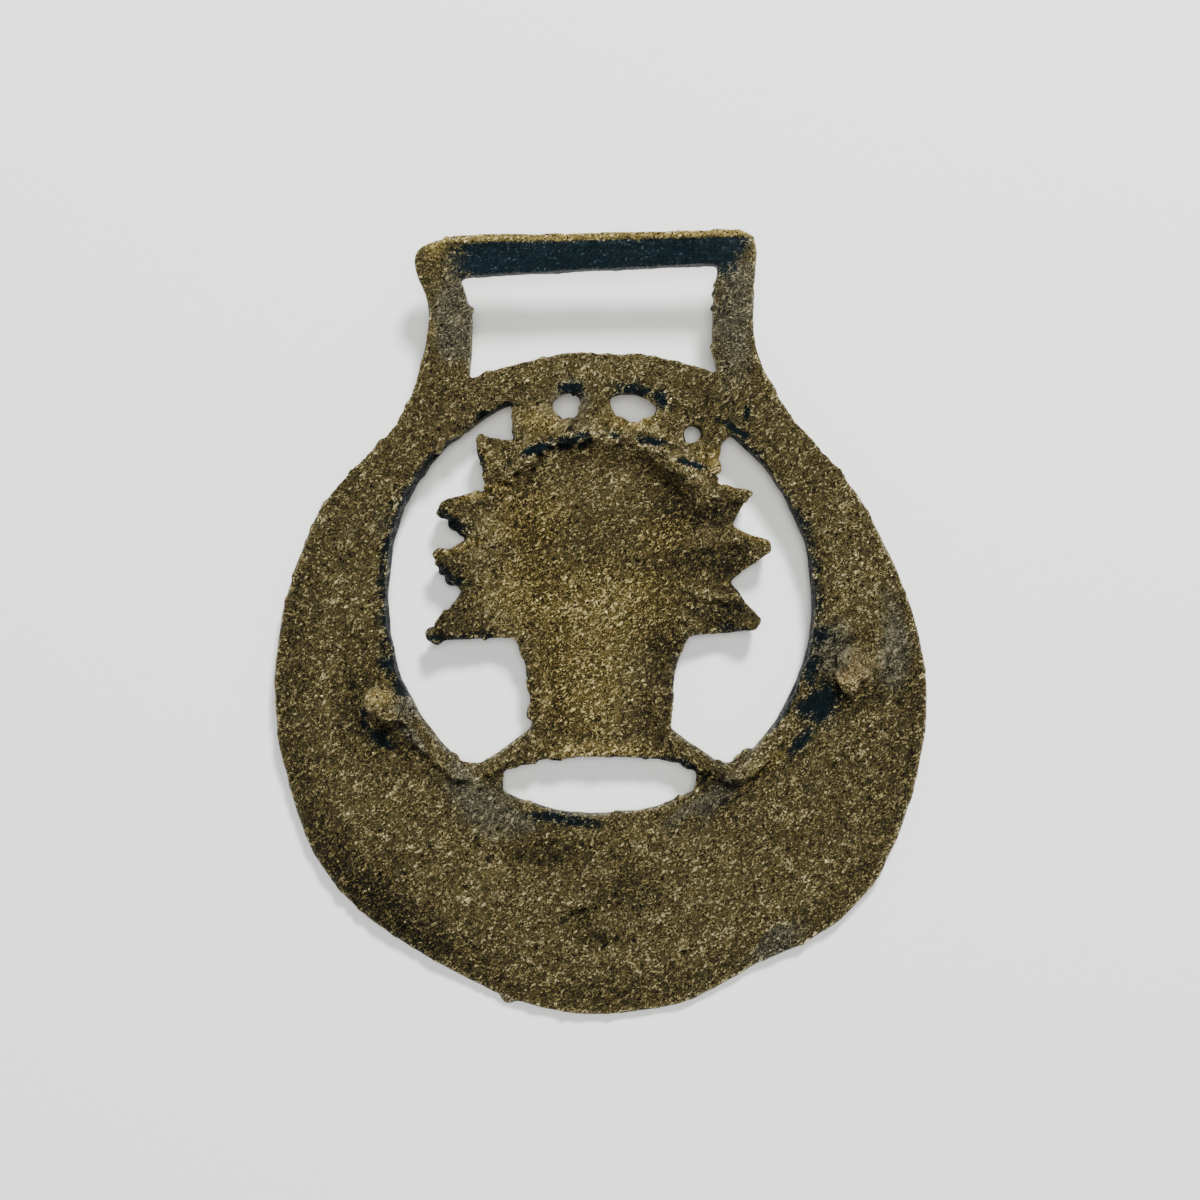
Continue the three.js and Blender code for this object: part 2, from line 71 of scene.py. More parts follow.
# The surface is remade on a grid this fine
VOXEL = 0.2
BAND = 7
TRIANGLES = 192000
ROUNDING = 0.15

# How many lumps and pits are strewn along the hollow's lip, and grains over the back
LIP_LUMPS = 64
LIP_PITS = 26
GRAINS = 1000

# The camera's place in millimetres and its lens, for the photo's view
CAMERA_PLACE = (-0.1, 3.14, 230.0)
LENS = 64.3
SENSOR = 36.0

# Share of chips on the surface at which it has its usual tone
USUAL_CHIPPING = 0.475


def ease(start, end, value):
    """0 before start, 1 after end, and a smooth step between."""
    share = np.clip((value - start) / (end - start), 0.0, 1.0)
    return share * share * (3.0 - 2.0 * share)


def lie(y):
    """Height of the plate's front over the floor: the brass leans on its domed front."""
    return LIE_SLOPE * np.maximum(0.0, y - REST_LINE)


def ellipse(x, y, centre, radii, degrees=0.0):
    """1 inside a turned ellipse, fading to 0 at about twice its size."""
    angle = math.radians(degrees)
    dx, dy = x - centre[0], y - centre[1]
    along = (dx * math.cos(angle) + dy * math.sin(angle)) / radii[0]
    across = (dy * math.cos(angle) - dx * math.sin(angle)) / radii[1]
    return np.exp(-0.7 * (along ** 2 + across ** 2))


def ellipses(x, y, places):
    """The strongest of several ellipses at each point."""
    return np.max([ellipse(x, y, *place) for place in places], axis=0)


# Surface

def cad_surface(node):
    """Points in millimetres and triangles of a CAD node."""
    mesh = node.data
    mesh.calc_loop_triangles()
    points = np.empty(len(mesh.vertices) * 3, np.float32)
    mesh.vertices.foreach_get("co", points)
    triangles = np.empty(len(mesh.loop_triangles) * 3, np.int32)
    mesh.loop_triangles.foreach_get("vertices", triangles)
    return points.reshape(-1, 3) / MM, triangles.reshape(-1, 3)


def drafted(points):
    """The moulded walls slope. The front's outline is wider than the back's, most at the upper left of
    the opening, where the back is eaten away. The bar's sharp tip is lengthened, because rounding takes
    it off again."""
    out = points.copy()
    x, y, z = points.T
    front = z < lie(y) + PLATE_THICKNESS / 2
    dx, dy = x - OPENING_CENTRE[0], y - OPENING_CENTRE[1]
    distance = np.hypot(dx, dy)
    degrees = np.degrees(np.arctan2(dy, dx))
    on_edge = np.abs(distance - OPENING_RADIUS) < 0.3
    eaten = ease(104, 118, degrees) * (1 - ease(152, 172, degrees))
    inwards = np.where(front, OPENING_DRAFT - EATEN_FRONT * eaten, -EATEN_BACK * eaten)
    reach = np.where(on_edge, inwards / np.maximum(distance, 1), 0.0)
    out[:, 0] -= dx * reach
    out[:, 1] -= dy * reach
    dx, dy = x - PLATE_CENTRE[0], y - PLATE_CENTRE[1]
    distance = np.hypot(dx, dy)
    on_rim = front & (distance > PLATE_RADIUS - 1.8) & (y < 15)
    reach = np.where(on_rim, RIM_DRAFT / np.maximum(distance, 1), 0.0)
    out[:, 0] += dx * reach
    out[:, 1] += dy * reach
    on_tip = (y > BAR_FOOT) & (BAR_EDGE + BAR_SLOPE * x - y < 0.6)
    out[:, 1] += np.where(on_tip, BAR_TIP * (1 - ease(13, 16.5, np.abs(x + 0.3))), 0)
    return out


class Field:
    """Signed distances on a regular grid, negative inside, with noise and blobs to shape them."""

    def __init__(self, points, triangles):
        transform = openvdb.createLinearTransform(voxelSize=VOXEL)
        grid = openvdb.FloatGrid.createLevelSetFromPolygons(
            points, triangles=triangles, transform=transform, halfWidth=BAND)
        margin = 6
        self.low = np.floor(points.min(0) / VOXEL).astype(int) - margin
        size = np.ceil(points.max(0) / VOXEL).astype(int) + margin - self.low
        self.values = np.empty(size, np.float32)
        grid.copyToArray(self.values, ijk=tuple(int(i) for i in self.low))
        self.x, self.y, self.z = [
            ((self.low[axis] + np.arange(size[axis])) * VOXEL).astype(np.float32) for axis in range(3)]
        self.random = np.random.default_rng(SEED)

    def noise(self, cell, stretch=(1, 1, 1)):
        """Smooth random values with a standard deviation of 1, varying over about `cell` mm."""
        weights = [spline_weights(n, cell * s / VOXEL) for n, s in zip(self.values.shape, stretch)]
        values = self.random.standard_normal([w.shape[1] for w in weights]).astype(np.float32)
        for matrix in weights:
            values = np.tensordot(values, matrix, axes=(0, 1))
        return values / values.std()

    def sample(self, values, points):
        """Values of a grid at points, by linear interpolation."""
        at = points / VOXEL - self.low
        base = np.clip(np.floor(at).astype(int), 0, np.array(values.shape) - 2)
        share = at - base
        total = np.zeros(len(points))
        for corner in np.ndindex(2, 2, 2):
            weight = np.prod(np.where(corner, share, 1 - share), axis=1)
            index = base + corner
            total += weight * values[index[:, 0], index[:, 1], index[:, 2]]
        return total

    def blob(self, centre, radius, blend=0.25, sign=-1):
        """Adds a lump (sign -1) or cuts a pit (sign 1), blended over a short distance."""
        reach = radius + 3 * blend + 2 * VOXEL
        first, last = [], []
        for axis in range(3):
            first.append(max(0, int((centre[axis] - reach) / VOXEL) - int(self.low[axis])))
            last.append(int((centre[axis] + reach) / VOXEL) - int(self.low[axis]) + 1)
        window = tuple(slice(a, b) for a, b in zip(first, last))
        part = self.values[window]
        if 0 in part.shape:
            return
        x = self.x[window[0]][:, None, None] - centre[0]
        y = self.y[window[1]][None, :, None] - centre[1]
        z = self.z[window[2]][None, None, :] - centre[2]
        ball = np.sqrt(x * x + y * y + z * z) - radius
        if sign < 0:
            share = np.clip(0.5 + 0.5 * (part - ball) / blend, 0, 1)
            self.values[window] = part + (ball - part) * share - blend * share * (1 - share)
        else:
            share = np.clip(0.5 - 0.5 * (part + ball) / blend, 0, 1)
            self.values[window] = -(-part + (ball + part) * share - blend * share * (1 - share))

    def find_tops(self):
        """Notes the height of the highest surface over each point of the plan."""
        inside = self.values < 0
        from_top = np.argmax(inside[:, :, ::-1], axis=2)
        self.tops = np.where(inside.any(2), self.z[len(self.z) - 1 - from_top], 0.0)

    def top(self, x, y):
        column = [int(round(value / VOXEL)) - int(low) for value, low in zip((x, y), self.low)]
        column = np.clip(column, 0, np.array(self.tops.shape) - 1)
        return float(self.tops[column[0], column[1]])

    def mesh(self):
        """Points in millimetres, triangles and quads of the surface."""
        grid = openvdb.FloatGrid(BAND * VOXEL)
        grid.copyFromArray(self.values, ijk=tuple(int(i) for i in self.low))
        grid.transform = openvdb.createLinearTransform(voxelSize=VOXEL)
        return grid.convertToPolygons(isovalue=0.0, adaptivity=0.0)


def spline_weights(count, cell):
    """Weights that take a row of coarse random values to `count` smooth ones, `cell` apart."""
    at = np.arange(count) / cell
    start = np.floor(at).astype(int)
    t = at - start
    matrix = np.zeros((count, int(start[-1]) + 4), np.float32)
    rows = np.arange(count)
    matrix[rows, start] = (1 - t) ** 3 / 6
    matrix[rows, start + 1] = (3 * t ** 3 - 6 * t ** 2 + 4) / 6
    matrix[rows, start + 2] = (-3 * t ** 3 + 3 * t ** 2 + 3 * t + 1) / 6
    matrix[rows, start + 3] = t ** 3 / 6
    return matrix


def blurred(values, width):
    """Gaussian blur; width in millimetres."""
    sigma = width / VOXEL
    reach = int(math.ceil(2.5 * sigma))
    taps = np.exp(-0.5 * (np.arange(-reach, reach + 1) / sigma) ** 2)
    taps = (taps / taps.sum()).astype(np.float32)
    for axis in range(3):
        pads = [(reach, reach) if a == axis else (0, 0) for a in range(3)]
        padded = np.pad(values, pads, mode="edge")
        total = np.zeros_like(values)
        for i, tap in enumerate(taps):
            window = [slice(None)] * 3
            window[axis] = slice(i, i + values.shape[axis])
            total += tap * padded[tuple(window)]
        values = total
    return values


# Roughness of the cast back

# Centre, radii and turn of each rough place
ROUGH_PLACES = [
    ((-14.2, 14.0), (4.0, 2.2), -20), ((-15.5, 8.5), (3.6, 2.0), 0), ((-15.0, 2.5), (3.6, 2.2), 30),
    ((-13.0, 18.5), (3.0, 2.6), 0), ((-5.5, 20.6), (5.0, 1.8), 20), ((3.5, 21.4), (4.5, 2.0), -5),
    ((10.0, 19.0), (3.5, 1.8), -35), ((-17.5, 18.0), (1.4, 5.5), -35), ((13.8, 15.0), (2.0, 4.0), 10),
    ((8.5, 23.8), (2.5, 1.5), -30), ((-10.5, -16.2), (5.0, 1.5), -20), ((-22.5, -9.5), (3.5, 2.5), -30),
    ((26.3, -4.0), (3.0, 2.5), 60), ((-6.8, -6.0), (1.3, 6.0), 0), ((7.0, -6.0), (1.3, 6.0), 0),
    ((10.5, -16.0), (5.0, 1.5), 20),
]

# Rows of lumps: points of the row, how many, their radii, and how far their centres lie above the
# surface, which grows with the radius
LUMP_ROWS = [
    ([(-17.4, 13.0), (-15.6, 11.2), (-13.7, 9.9)], 15, (0.35, 0.75), -0.9),
    ([(-17.9, 7.4), (-16.4, 5.6), (-14.6, 5.2)], 11, (0.35, 0.75), -0.9),
    ([(-18.3, -0.4), (-17.0, -1.0)], 4, (0.4, 0.7), -0.6),
    ([(-12.6, 19.0), (-12.0, 15.8)], 7, (0.25, 0.4), -0.3),
    ([(-16.9, 13.8), (-13.0, 14.9)], 9, (0.3, 0.5), -0.1),
    ([(-17.6, 7.8), (-14.2, 9.0)], 8, (0.3, 0.45), -0.1),
    ([(-5.6, 27.0), (-2.4, 26.8), (-3.2, 23.6), (-5.4, 25.4)], 14, (0.2, 0.4), -0.2),
    ([(1.2, 26.4), (5.0, 26.0), (6.8, 24.4), (2.6, 22.6), (1.2, 25.6)], 20, (0.2, 0.4), -0.2),
    ([(8.8, 23.6), (10.8, 23.4), (10.0, 20.9), (8.6, 22.4)], 10, (0.15, 0.3), -0.2),
    ([(12.8, 21.0), (13.4, 18.6), (12.6, 15.8)], 9, (0.3, 0.55), -0.2),
    ([(-7.3, -12.0), (-7.0, -3.0), (-8.6, 0.2)], 18, (0.3, 0.6), -0.2),
    ([(7.3, -12.0), (7.2, -3.0), (8.6, 0.2)], 16, (0.3, 0.55), -0.2),
    ([(-14.0, 30.2), (-13.5, 33.0), (-14.2, 36.6)], 12, (0.2, 0.45), -0.7),
    ([(12.4, 30.2), (11.7, 33.5), (12.3, 36.9)], 12, (0.2, 0.45), -0.7),
    ([(-16.5, 40.2), (0.0, 40.5), (16.8, 40.8)], 90, (0.12, 0.24), -0.2),
    ([(-7.9, -13.2), (-13.4, -16.4)], 14, (0.25, 0.5), -0.3),
    ([(7.9, -13.2), (13.6, -16.2)], 14, (0.25, 0.5), -0.3),
    ([(-9.6, 18.9), (-5.0, 20.6), (0.4, 21.2)], 18, (0.28, 0.5), 0.0),
    ([(-16.0, -13.6), (-14.6, -14.9)], 7, (0.6, 0.9), -0.8),
    ([(-11.4, -14.6), (-13.2, -15.4)], 7, (0.6, 0.9), -0.8),
    ([(15.9, -13.4), (14.8, -14.7)], 7, (0.6, 0.9), -0.8),
    ([(11.6, -14.4), (13.3, -15.2)], 7, (0.6, 0.9), -0.8),
    ([(-9.0, -18.6), (-3.0, -20.4), (4.0, -20.4), (9.0, -18.0)], 18, (0.2, 0.4), -0.3),
]

# Single lumps: centre, radius, and how far the centre lies above the surface
LUMPS = [
    ((-7.95, -8.1), 0.8, -0.8), ((-7.2, -9.2), 0.5, -0.3), ((-23.5, -7.5), 1.6, -0.75),
    ((-22.4, -8.6), 1.1, -0.55), ((-20.9, -8.9), 0.8, -0.4), ((26.3, -3.3), 1.6, -0.6),
    ((26.0, -4.9), 1.4, -0.5), ((27.3, -4.3), 1.1, -0.4), ((-9.9, -39.2), 0.9, -1.0),
    ((-4.9, -13.3), 0.5, -0.3), ((1.6, 6.0), 0.35, -0.1), ((-2.0, 8.4), 0.3, -0.1),
]

# Clusters of pits: centre and half-size of the cluster, how many, and their radii
PIT_CLUSTERS = [
    ((0.2, -32.9), (1.3, 0.5), 7, (0.25, 0.45)), ((-2.2, -30.5), (1.4, 0.7), 6, (0.2, 0.4)),
    ((-5.0, -24.0), (3.5, 1.5), 6, (0.2, 0.35)), ((2.6, -27.5), (3.0, 2.0), 6, (0.2, 0.35)),
    ((-11.2, -39.6), (0.4, 0.3), 2, (0.7, 0.9)), ((4.0, 7.2), (0.6, 0.3), 3, (0.25, 0.4)),
]


def place_on(points, share):
    """Point at a share of the length of an open row of points."""
    points = np.array(points, float)
    lengths = np.hypot(*np.diff(points, axis=0).T)
    along = np.concatenate([[0.0], np.cumsum(lengths)])
    return [float(np.interp(share * along[-1], along, points[:, axis])) for axis in range(2)]


def add_lumps(field, random):
    """Flash and lumps of sand-cast metal along edges, round the gaps and over the hollow's wall."""
    for points, count, radii, lift in LUMP_ROWS:
        for share in random.uniform(0, 1, count):
            x, y = np.array(place_on(points, share)) + random.normal(0, 0.15, 2)
            radius = random.uniform(*radii)
            field.blob((x, y, field.top(x, y) + lift * (0.6 + radius)), radius)
    for (x, y), radius, lift in LUMPS:
        field.blob((x, y, field.top(x, y) + lift), radius, blend=0.4)
    for degrees in random.uniform(16, 152, LIP_LUMPS):
        reach = HOLLOW_RADIUS + random.uniform(0.3, 2.2)
        x = MOTIF_CENTRE[0] + reach * math.cos(math.radians(degrees))
        y = MOTIF_CENTRE[1] + reach * math.sin(math.radians(degrees))
        height = field.top(x, y)
        if height > 2:
            field.blob((x, y, height - 0.15), random.uniform(0.3, 0.6))


def add_pits(field, random):
    """Pits under the lip of the hollow's upper wall and on the plate."""
    for degrees in random.uniform(76, 148, LIP_PITS):
        reach = HOLLOW_RADIUS - random.uniform(0.2, 0.9)
        x = MOTIF_CENTRE[0] + reach * math.cos(math.radians(degrees))
        y = MOTIF_CENTRE[1] + reach * math.sin(math.radians(degrees))
        field.blob((x, y, field.top(x, y) + 0.1), random.uniform(0.25, 0.55), sign=1)
    for (cx, cy), (across, up), count, radii in PIT_CLUSTERS:
        for _ in range(count):
            x, y = cx + random.normal(0, across), cy + random.normal(0, up)
            field.blob((x, y, field.top(x, y) + 0.05), random.uniform(*radii), blend=0.15, sign=1)


def scatter(field, random):
    """Small grains and pits all over the back, apart from the smoother bar."""
    for index in range(GRAINS):
        x, y = random.uniform(-34, 34), random.uniform(-41, 30)
        height = field.top(x, y)
        if height < 1.5:
            continue
        radius = random.uniform(0.15, 0.34)
        if index % 4:
            field.blob((x, y, height - 0.3 * radius), radius, blend=0.15)
        else:
            field.blob((x, y, height + 0.3 * radius), radius, blend=0.12, sign=1)


def roughness_map(x, y):
    """How coarse the back's grain is over the plan, in millimetres."""
    rough = 0.08 + 0.085 * ellipses(x, y, ROUGH_PLACES)
    return rough * (1 - 0.65 * calmness(x, y))


def calmness(x, y):
    """1 on the bar, which is smoother than the plate, and less on the posts."""
    bar = ease(BAR_FOOT - 0.8, BAR_FOOT + 0.4, y)
    posts = 0.45 * ease(24, 30, y) * ease(12, 15, np.abs(x))
    return np.maximum(bar, posts)


def grain(field):
    """Outward displacement of the surface, in millimetres."""
    x, y = np.meshgrid(field.x, field.y, indexing="ij")
    rough = roughness_map(x, y)[:, :, None]
    above = field.z[None, None, :] - lie(y)[:, :, None] - 0.4 * PLATE_THICKNESS
    back = ease(-0.6, 0.6, above).astype(np.float32)
    amount = rough * (0.15 + 0.85 * back)
    fine = field.noise(0.42)
    middle = field.noise(0.85)
    coarse = field.noise(1.9)
    swell = field.noise(5.5)
    lumps = np.maximum(middle, 0) ** 1.4 - 0.5
    steep = 1 - np.minimum(1, np.abs(np.gradient(field.values, VOXEL, axis=2)))
    calm = calmness(x, y)[:, :, None]
    edge = 0.03 * steep * (coarse + 0.7 * middle) * (1 - 0.8 * calm)
    waves = 0.07 * swell * (0.4 + 0.6 * back) * (1 - 0.7 * steep)
    return amount * (0.6 * fine + 0.75 * lumps + 0.45 * coarse) + waves + edge


def connected(count, polygons):
    """Group number of each point, where polygons join points."""
    label = np.arange(count)
    edges = np.concatenate([
        np.stack([group[:, i], group[:, (i + 1) % group.shape[1]]], 1)
        for group in polygons if len(group) for i in range(group.shape[1])])
    while True:
        lowest = np.minimum(label[edges[:, 0]], label[edges[:, 1]])
        before = label.copy()
        np.minimum.at(label, edges[:, 0], lowest)
        np.minimum.at(label, edges[:, 1], lowest)
        label = label[label]
        if np.array_equal(before, label):
            return label


def largest_body(points, triangles, quads):
    """Leaves out specks that aren't joined to the piece."""
    label = connected(len(points), [triangles, quads])
    names, counts = np.unique(label, return_counts=True)
    keep = label == names[counts.argmax()]
    renumber = np.cumsum(keep) - 1
    triangles = renumber[triangles[keep[triangles[:, 0]]]] if len(triangles) else triangles
    quads = renumber[quads[keep[quads[:, 0]]]] if len(quads) else quads
    return points[keep], triangles, quads


def mesh_object(name, points, polygons):
    """A Blender object in metres from points in millimetres."""
    mesh = bpy.data.meshes.new(name)
    faces = [face for group in polygons for face in group.tolist()]
    mesh.from_pydata((points * MM).tolist(), [], faces)
    mesh.validate()
    obj = bpy.data.objects.new(name, mesh)
    bpy.context.scene.collection.objects.link(obj)
    return obj


def decimated(obj, triangles):
    """Collapses the flattest edges until about this many triangles are left."""
    count = sum(len(p.vertices) - 2 for p in obj.data.polygons)
    if count <= triangles:
        return
    modifier = obj.modifiers.new("fewer", "DECIMATE")
    modifier.ratio = triangles / count
    modifier.use_collapse_triangulate = True
    graph = bpy.context.evaluated_depsgraph_get()
    mesh = bpy.data.meshes.new_from_object(obj.evaluated_get(graph))
    obj.modifiers.remove(modifier)
    obj.data = mesh


def attribute(mesh, name, values):
    """Keeps a number at each point of the mesh, for the material."""
    layer = mesh.attributes.new(name, "FLOAT", "POINT")
    layer.data.foreach_set("value", np.ascontiguousarray(values, np.float32))


# Finish: where the patina changes, where the metal is worn and where light and shade are painted, in
# millimetres over the plan

TEAL_PLACES = [
    ((23.1, -7.7), (2.6, 1.8), 35), ((22.5, -0.4), (1.5, 1.2), 0), ((21.2, -11.8), (1.9, 0.7), 50),
    ((-23.5, -11.4), (1.7, 0.6), -38), ((-25.0, -9.4), (0.4, 1.3), 10),
    ((22.0, -4.0), (0.9, 2.5), 0), ((-11.2, 22.9), (2.4, 0.5), 18), ((14.2, 20.9), (1.8, 0.4), -32),
    ((15.3, 22.8), (0.3, 0.8), 0), ((-4.0, -20.0), (4.0, 0.6), -8),
    ((-22.2, -3.6), (1.0, 1.0), 0), ((-21.7, 1.0), (0.5, 3.5), 8), ((-6.4, 19.1), (2.4, 0.5), 22),
    ((-3.0, 20.0), (1.9, 0.7), 15), ((1.4, 20.4), (0.8, 0.4), -20), ((5.2, 19.8), (1.4, 0.35), -8),
    ((9.6, 17.4), (1.6, 0.35), -15), ((3.4, 24.9), (2.6, 0.8), -4), ((6.3, 24.1), (0.7, 1.0), 15),
    ((-3.0, 25.2), (1.3, 0.7), 0),
    ((-16.3, 11.4), (1.9, 0.7), -40), ((-16.6, 6.1), (1.9, 0.6), -40), ((-17.8, -0.9), (1.1, 0.5), -10),
    ((-18.8, 16.6), (0.6, 4.8), -38), ((17.9, 15.0), (0.4, 5.0), 35), ((20.9, 8.0), (0.4, 5.0), 15),
]
GREY_PLACES = [
    ((-12.5, -18.6), (4.2, 2.4), -35), ((-9.0, -20.0), (2.6, 1.0), -35), ((18.2, -33.9), (2.6, 1.3), 35),
    ((12.6, -17.2), (2.4, 1.2), 40), ((-14.5, -15.4), (2.6, 0.7), -42), ((9.6, -18.9), (2.0, 0.5), 35),
    ((-19.6, -11.6), (2.2, 0.7), -50), ((-20.3, -8.0), (1.4, 1.4), 0), ((24.0, -2.0), (1.6, 2.2), 0),
    ((-3.0, 24.0), (1.6, 2.0), 0), ((31.0, -2.0), (1.5, 5.0), 0), ((-15.3, 33.0), (1.8, 4.5), 0),
    ((14.2, 33.5), (2.0, 5.0), 0),
]
COPPER_PLACES = [
    ((26.2, -4.0), (1.7, 2.3), 60), ((-23.8, -8.9), (1.3, 0.8), 10),
]
# Darker places: mostly painted shade (lug and strut flanks, stem side rims, the hollow's sides, the left
# spikes' lower faces, the lower left rim that slopes away from the light); the pit clusters are dark
# patina
PAINTED_SHADE_AND_PATINA_PLACES = [
    ((-22.8, -11.0), (3.6, 2.2), -38), ((-26.4, -7.0), (1.0, 3.0), -15), ((-22.5, -29.5), (9.0, 3.0), -42),
    ((-7.2, -5.0), (1.1, 6.0), 4), ((7.3, -5.0), (1.1, 6.0), -4), ((0.2, -32.9), (1.8, 0.7), 0),
    ((-2.2, -30.5), (1.8, 0.9), 0), ((-5.0, -24.0), (4.0, 1.6), 0), ((2.6, -27.5), (3.0, 2.0), 0),
    ((-10.2, -16.0), (3.0, 0.7), -30), ((10.6, -15.6), (3.0, 0.9), 30), ((28.5, -6.6), (2.4, 1.0), 30),
    ((10.8, 6.4), (3.4, 1.4), -10), ((9.5, 13.0), (4.0, 1.8), -20), ((14.0, -17.4), (4.0, 1.0), 35),
    ((-9.6, 16.0), (2.5, 1.5), 30), ((8.0, -2.0), (2.0, 3.0), 0), ((-16.0, 12.4), (2.0, 1.5), -30),
    ((-16.4, 6.6), (2.0, 1.5), -30), ((-15.8, 0.4), (2.6, 1.6), 10), ((14.6, 3.0), (1.8, 1.6), 0),
]
# Lighter places: painted light on the hollow's upper wall, which lies in shade, and on slopes such as the
# top arc and the stem that face the light; partly a lighter tone of the metal
LIGHT_TONE_AND_PAINTED_LIGHT_PLACES = [
    ((0.0, 15.4), (9.5, 4.2), 0), ((0.0, -3.0), (5.4, 7.5), 0), ((-3.0, 2.0), (8.0, 4.0), 0),
    ((27.5, 6.0), (2.5, 10.0), 12), ((0.0, 27.6), (11.0, 1.8), 0), ((4.0, -30.0), (14.0, 7.0), 0),
    ((-12.0, -26.0), (8.0, 5.0), -30), ((-10.0, -18.8), (3.5, 1.4), -30),
]
# Brighter places: painted light on the hollow's top and the stem, and worn bright metal on the left lug's
# top
PAINTED_LIGHT_AND_WEAR_PLACES = [
    ((0.0, 15.6), (10.0, 3.6), 0), ((0.0, -6.0), (4.5, 7.0), 0), ((-23.2, -7.2), (2.0, 1.4), 10),
]
# Golden places: worn high spots on the lugs and the bar's ends, and painted highlights along the spikes'
# upper edges and other edges that face the light
GOLD_WEAR_AND_HIGHLIGHT_PLACES = [
    ((-23.3, -7.1), (1.2, 0.8), 20), ((25.6, -4.9), (1.1, 0.9), 0),
    ((-17.2, 39.6), (0.9, 0.7), 45), ((17.0, 40.2), (0.9, 0.8), 0), ((9.0, -19.6), (1.0, 0.4), 30),
    ((-12.0, 14.6), (3.4, 0.5), 18), ((-15.0, 8.6), (2.4, 0.5), 20), ((14.0, 15.2), (1.7, 0.4), -12),
    ((16.0, 9.9), (2.0, 0.4), -22), ((-13.0, 18.8), (1.2, 0.6), -20), ((12.0, 18.0), (1.5, 1.2), 0),
    ((-13.2, -15.9), (2.4, 0.4), 32), ((-6.3, 22.1), (2.2, 1.2), 0), ((3.0, 22.0), (2.6, 0.9), 0),
    ((17.6, -14.4), (2.6, 0.4), 42),
]
WARM_PLACES = [
    ((-2.0, -4.0), (4.6, 7.0), 0), ((-6.5, 4.0), (4.5, 4.0), 0), ((0.0, -12.9), (6.0, 0.9), 0),
    ((-7.5, 11.5), (3.5, 3.0), 0), ((1.0, 3.0), (6.0, 4.0), 0), ((6.0, 9.6), (3.0, 1.8), 20),
]


def finish_maps(x, y):
    """How far each kind of patina, wear, painted light and painted shade covers the surface over the plan,
    from 0 to 1.
    """
    edge = BAR_EDGE + BAR_SLOPE * x - y
    right_end = 11.6 + 0.75 * (y - BAR_FOOT)
    along = ease(-17.6, -11.6, x) * (1 - ease(-1.5, 3.5, x - right_end))
    bar = along * ease(BAR_FOOT - 1.3, BAR_FOOT + 0.4, y) * ease(0.15, 0.7, edge)
    # Painted highlight: a golden line along the bar's top edge, where the edge catches the light
    bar_edge_highlight = (1 - ease(0.1, 0.55, edge)) * (y > 35)
    return {
        "teal": np.maximum(ellipses(x, y, TEAL_PLACES), bar),
        "grey": ellipses(x, y, GREY_PLACES),
        "painted_shade_and_patina": ellipses(x, y, PAINTED_SHADE_AND_PATINA_PLACES),
        "light_tone_and_painted_light": ellipses(x, y, LIGHT_TONE_AND_PAINTED_LIGHT_PLACES),
        "painted_light_and_wear": ellipses(x, y, PAINTED_LIGHT_AND_WEAR_PLACES),
        "gold_wear_and_highlight": np.maximum(ellipses(x, y, GOLD_WEAR_AND_HIGHLIGHT_PLACES), bar_edge_highlight),
        "warm": ellipses(x, y, WARM_PLACES),
        "copper": ellipses(x, y, COPPER_PLACES),
        "calm": calmness(x, y),
    }


def shade_and_patina_on_walls(field, smooth, points, low, high):
    """1 on walls round the opening that face the foot or the middle, where shade falls and the black-teal
    patina stayed: painted shade as well as patina.
    """
    x, y = points[:, 0], points[:, 1]

    def facing(across, up):
        step = np.array([across, up, 0.0]) * VOXEL
        rise = (field.sample(smooth, points + step) - field.sample(smooth, points - step)) / (2 * VOXEL)
        return ease(low, high, rise)

    right = facing(-1.0, -0.1) * (x > 15) * (y > -11)
    left = facing(1.0, -0.2) * (x < -15) * (y > -7)
    near = 1 - ease(0.8, 2.4, np.hypot(x - OPENING_CENTRE[0], y - OPENING_CENTRE[1]) - OPENING_RADIUS)
    hollow = 1 - ease(0.2, 0.9, np.hypot(x - MOTIF_CENTRE[0], y - MOTIF_CENTRE[1]) - HOLLOW_RADIUS)
    return np.maximum(facing(-0.42, -0.9), np.maximum(right, left)) * near * (1 - 0.85 * hollow)


def cast_brass():
    """The whole brass with its rough skin, and the maps that its material reads."""
    points, triangles = cad_surface(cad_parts["horse_brass"])
    field = Field(drafted(points), triangles)
    field.values = blurred(field.values, ROUNDING)
    field.find_tops()
    add_pits(field, field.random)
    add_lumps(field, field.random)
    scatter(field, field.random)
    field.values -= grain(field)
    floor = -np.broadcast_to(field.z[None, None, :], field.values.shape)
    field.values = np.maximum(field.values, floor)
    points, triangles, quads = largest_body(*field.mesh())
    piece = mesh_object("cast_brass", points, [triangles, quads])
    decimated(piece, TRIANGLES)
    mesh = piece.data
    mesh.shade_smooth()
    points = np.empty(len(mesh.vertices) * 3, np.float32)
    mesh.vertices.foreach_get("co", points)
    points = points.reshape(-1, 3) / MM
    for name, width in (("crest", 0.4), ("swell", 1.3)):
        smooth = blurred(field.values, width)
        attribute(mesh, name, field.sample(smooth, points) / width)
    small = blurred(field.values, 0.6)
    # Painted shade with patina: walls round the opening that face away from the light
    walls_in_shade = np.maximum(shade_and_patina_on_walls(field, smooth, points, 0.10, 0.36), shade_and_patina_on_walls(field, small, points, 0.22, 0.5))
    attribute(mesh, "shade_and_patina_on_walls", walls_in_shade)
    up = np.array([0, 0, 2 * VOXEL])
    slope = (field.sample(smooth, points + up) - field.sample(smooth, points - up)) / (4 * VOXEL)
    attribute(mesh, "steep", 1 - np.abs(slope))
    attribute(mesh, "front", ease(0.1, 0.5, -slope))
    for name, values in finish_maps(points[:, 0], points[:, 1]).items():
        attribute(mesh, name, values)
    print("brass triangles", sum(len(p.vertices) - 2 for p in mesh.polygons))
    return piece


# Materials

